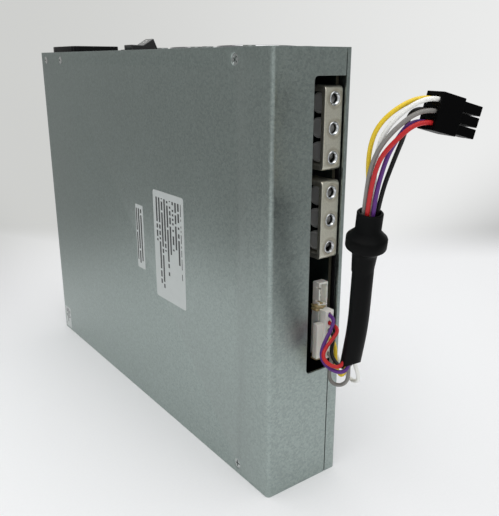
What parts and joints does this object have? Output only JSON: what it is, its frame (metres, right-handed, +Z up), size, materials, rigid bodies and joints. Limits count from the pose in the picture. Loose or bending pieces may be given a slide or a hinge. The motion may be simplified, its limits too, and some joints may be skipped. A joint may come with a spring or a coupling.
{
  "type": "power supply",
  "caption": "Slim sheet steel power supply for a mining rig, with output busbars in a side window, a sleeved signal harness, a mains inlet, a rocker switch and cooling fans.",
  "frame": {"origin": "middle of the case's bottom end, without the harness", "axes": "+X from the labelled face to the cover, +Y from the output side to the back, +Z up to the inlet"},
  "size_m": [0.0511, 0.3237, 0.2125],
  "materials": {
    "galvanised_steel": "zinc coated sheet, satin",
    "screw_steel": "zinc plated",
    "plated_bar": "nickel plated, satin",
    "bright_steel": "bright plated",
    "board_laminate": "solder mask over glass laminate",
    "insulating_film": "thin film",
    "white_nylon": "natural nylon",
    "black_plastic": "moulded, fine grain",
    "gloss_black_plastic": "moulded, glossy",
    "black_rubber": "matt rubber",
    "wire_yellow": "extruded insulation",
    "wire_white": "extruded insulation",
    "wire_gray": "extruded insulation",
    "wire_red": "extruded insulation",
    "wire_purple": "extruded insulation",
    "wire_black": "extruded insulation",
    "capacitor_sleeve": "shrunk sleeve on an aluminium can",
    "plated_contact": "tin plated",
    "sink_aluminium": "extruded",
    "wound_copper": "enamelled winding",
    "ferrite": "sintered, matt",
    "film_case": "moulded box",
    "fuse_body": "fired tube",
    "bearing_bronze": "sintered"
  },
  "bodies": {
    "supply": {"main_case": "galvanised_steel", "case_cover": "galvanised_steel", "inlet_panel": "galvanised_steel", "vent_panel": "galvanised_steel", "case_screws": "screw_steel", "panel_rivets": "screw_steel", "insulation_sheet": "insulating_film", "board_standoffs": "screw_steel", "board_screws": "screw_steel", "main_board": "board_laminate", "busbar_upper": "plated_bar", "busbar_lower": "plated_bar", "terminal_nuts": "bright_steel", "output_capacitors": "capacitor_sleeve", "spare_header": "white_nylon", "spare_header_pins": "plated_contact", "harness_header": "white_nylon", "harness_plug": "white_nylon", "cable_grommet": "black_rubber", "cable_sleeve": "black_rubber", "signal_plug": "black_plastic", "wire_yellow": "wire_yellow", "wire_white": "wire_white", "wire_gray": "wire_gray", "wire_red": "wire_red", "wire_purple": "wire_purple", "wire_black": "wire_black", "inlet_body": "black_plastic", "inlet_pins": "plated_contact", "switch_body": "black_plastic", "switch_terminals": "plated_contact", "fan_frame_1": "black_plastic", "fan_frame_2": "black_plastic", "fan_bearing_1": "bearing_bronze", "fan_bearing_2": "bearing_bronze", "fan_stator_1": "wound_copper", "fan_stator_2": "wound_copper", "fan_guard_1": "bright_steel", "fan_guard_2": "bright_steel", "fan_screws": "screw_steel", "bulk_capacitors": "capacitor_sleeve", "pfc_choke": "wound_copper", "line_filter_choke": "wound_copper", "power_transformers": "ferrite", "heat_sink_primary": "sink_aluminium", "heat_sink_secondary": "sink_aluminium", "power_transistors": "black_plastic", "bridge_rectifier": "black_plastic", "film_capacitors": "film_case", "line_fuse": "fuse_body", "control_board": "board_laminate"},
    "switch_rocker": {"switch_rocker": "gloss_black_plastic"},
    "fan_rotor_1": {"fan_rotor_1": "black_plastic", "fan_shaft_1": "bright_steel"},
    "fan_rotor_2": {"fan_rotor_2": "black_plastic", "fan_shaft_2": "bright_steel"}
  },
  "joints": [
    {"name": "rocker_hinge", "type": "hinge", "parent": "supply", "child": "switch_rocker", "pos_m": [0, 0.0205, 0.206], "axis": [0, 1, 0], "range_deg": [0, 28]},
    {"name": "fan_spin_1", "type": "hinge", "parent": "supply", "child": "fan_rotor_1", "pos_m": [0, -0.092, 0.19], "axis": [0, 0, 1], "continuous": true},
    {"name": "fan_spin_2", "type": "hinge", "parent": "supply", "child": "fan_rotor_2", "pos_m": [0, -0.05, 0.19], "axis": [0, 0, 1], "continuous": true}
  ]
}
